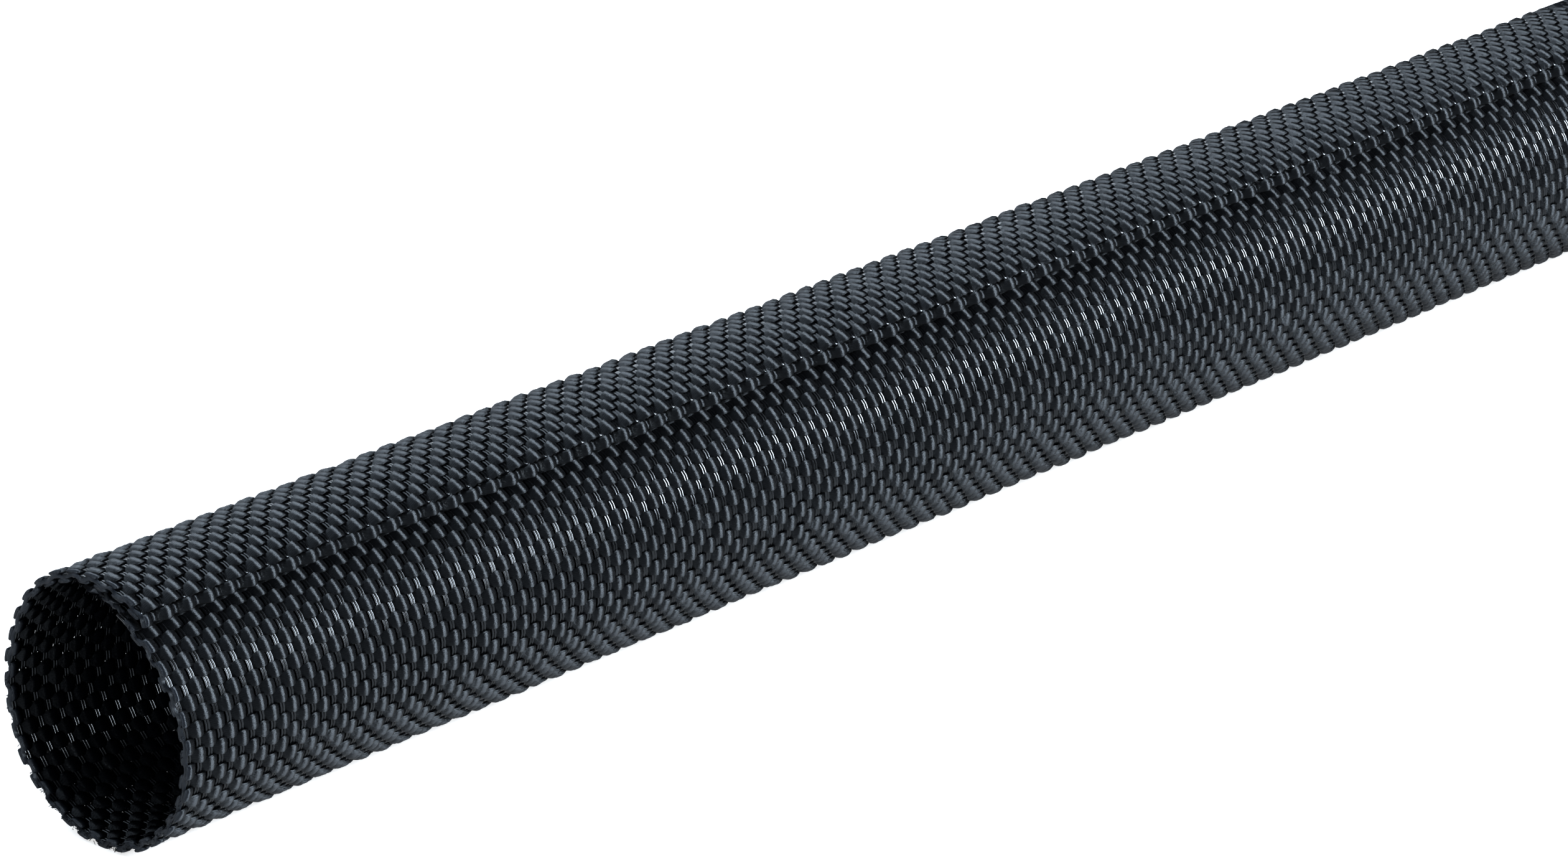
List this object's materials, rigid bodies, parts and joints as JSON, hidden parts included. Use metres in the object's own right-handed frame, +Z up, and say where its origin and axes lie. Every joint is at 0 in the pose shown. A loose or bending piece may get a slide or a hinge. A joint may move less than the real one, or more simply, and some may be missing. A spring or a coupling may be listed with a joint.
{
  "type": "woven cable sleeve",
  "caption": "Self-closing woven cable sleeve: a springy band of black yarn curled lengthwise until its selvedges overlap, so cables can be laid in along the seam",
  "frame": {"origin": "bottom centre of the tube's box, on the floor that it lies on", "axes": "+X along the tube, away from the open end seen in the picture, +Z up, -Y the side with the seam"},
  "size_m": [1, 0.0196, 0.0209],
  "materials": {
    "woven_polyester": "black PET weave: satin flat multifilament yarns lengthwise over glossy paired round monofilaments round the tube"
  },
  "bodies": {
    "root": {"woven_sleeve": "woven_polyester"}
  },
  "joints": []
}
